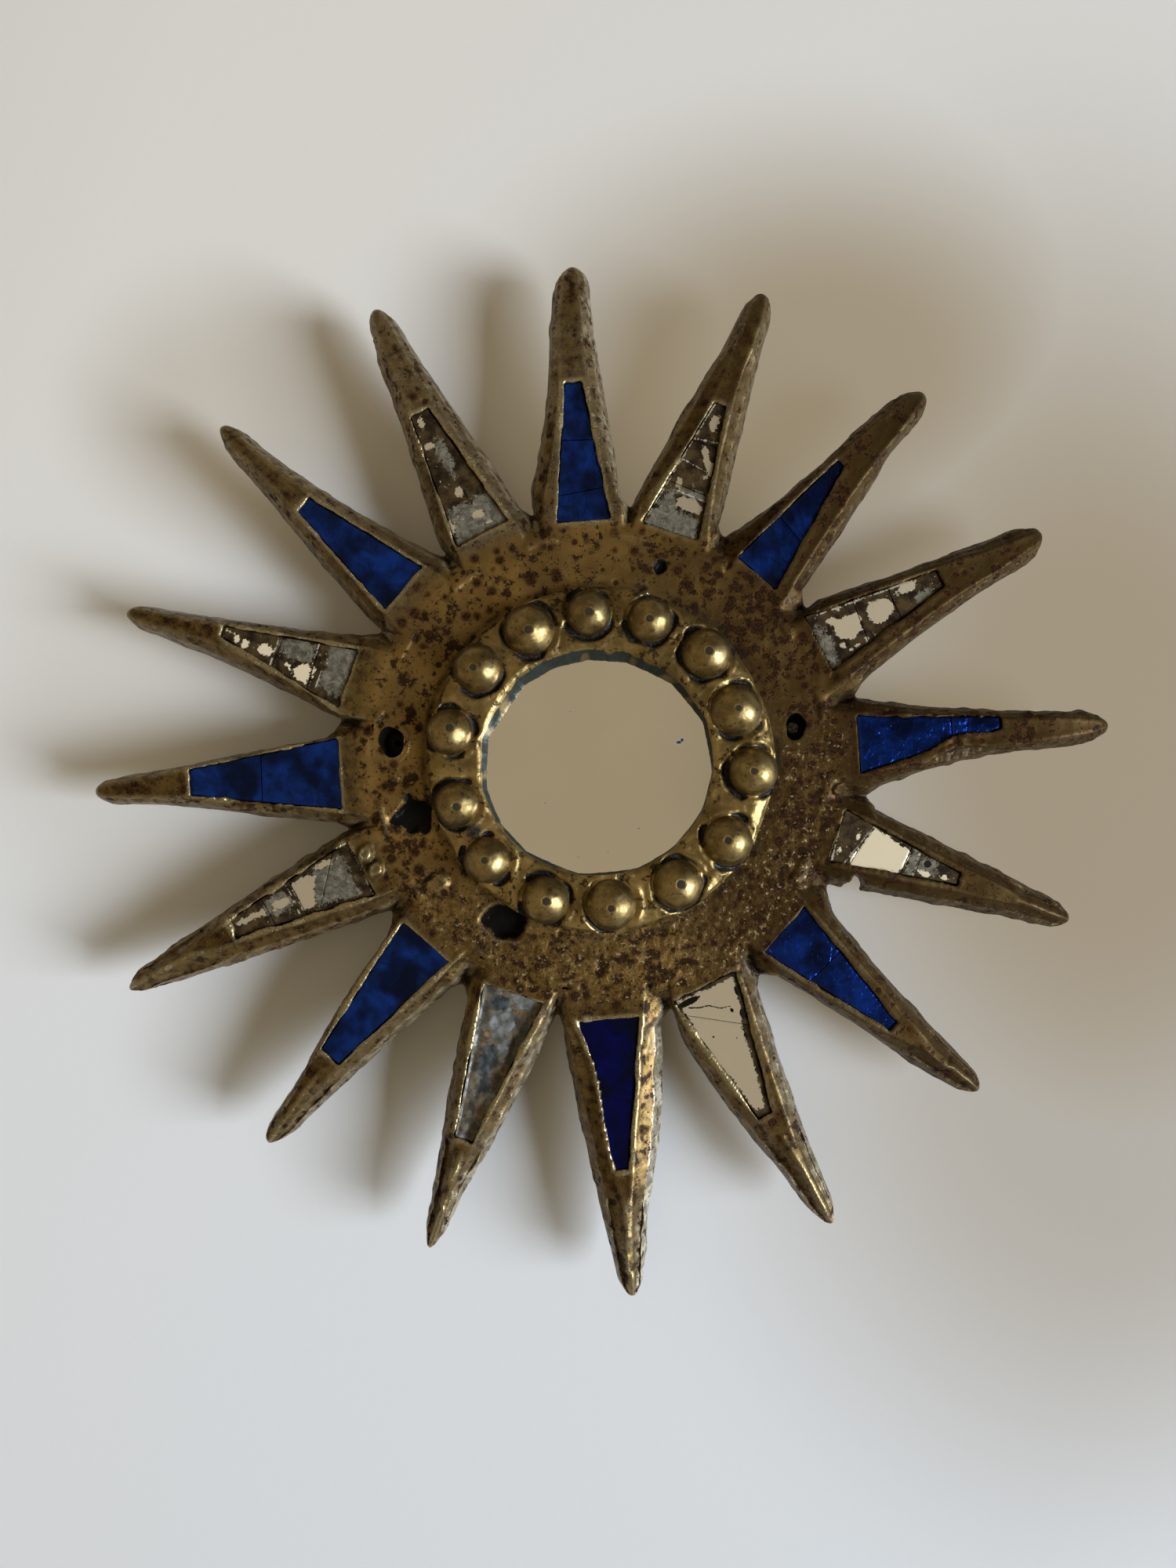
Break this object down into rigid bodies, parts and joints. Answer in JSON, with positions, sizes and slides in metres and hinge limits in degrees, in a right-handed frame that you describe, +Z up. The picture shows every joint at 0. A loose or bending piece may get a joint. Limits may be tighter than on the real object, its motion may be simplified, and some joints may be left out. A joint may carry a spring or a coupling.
{
  "type": "sunburst wall mirror",
  "caption": "Small round mirror in a beaded collar on a gilded hub, ringed by tapering hand-made rays with blue and silvered glass let into them, to hang on a wall.",
  "frame": {"origin": "on the wall, at the back face of the felt pad, behind the middle of the mirror", "axes": "as it hangs: -Y out of the wall towards the viewer, +Z up, +X to the viewer's right"},
  "size_m": [0.2466, 0.0273, 0.2504],
  "materials": {
    "gilt": "moulded resin under worn, browned gilding",
    "bright_gilt": "moulded resin under rubbed gilding",
    "blue_glass": "deep blue glass over foil, scratched",
    "silver_glass": "silvered glass whose silver has largely flaked",
    "mirror": "flat mirror glass with a few specks",
    "cement": "grey adhesive, dull",
    "nail_steel": "darkened",
    "brass": "satin",
    "wood": "dark stained board",
    "felt": "felt"
  },
  "bodies": {
    "root": {"felt_pad": "felt", "backing_disc": "wood", "hub": "gilt", "mirror_cement": "cement", "mirror_glass": "mirror", "collar": "bright_gilt", "collar_beads": "bright_gilt", "fixing_nail": "nail_steel", "hanging_plate": "brass", "hanging_screws": "brass", "inlay_cement": "cement", "ray_01": "gilt", "ray_02": "gilt", "ray_03": "gilt", "ray_04": "gilt", "ray_05": "gilt", "ray_06": "gilt", "ray_07": "gilt", "ray_08": "gilt", "ray_09": "gilt", "ray_10": "gilt", "ray_11": "gilt", "ray_12": "gilt", "ray_13": "gilt", "ray_14": "gilt", "ray_15": "gilt", "ray_16": "gilt", "blue_glass_01": "blue_glass", "blue_glass_03": "blue_glass", "blue_glass_05": "blue_glass", "blue_glass_07": "blue_glass", "blue_glass_09": "blue_glass", "blue_glass_11": "blue_glass", "blue_glass_13": "blue_glass", "blue_glass_15": "blue_glass", "silver_glass_02": "silver_glass", "silver_glass_04": "silver_glass", "silver_glass_06": "silver_glass", "silver_glass_08": "silver_glass", "silver_glass_12": "silver_glass", "silver_glass_14": "silver_glass", "silver_glass_16": "silver_glass"}
  },
  "joints": []
}
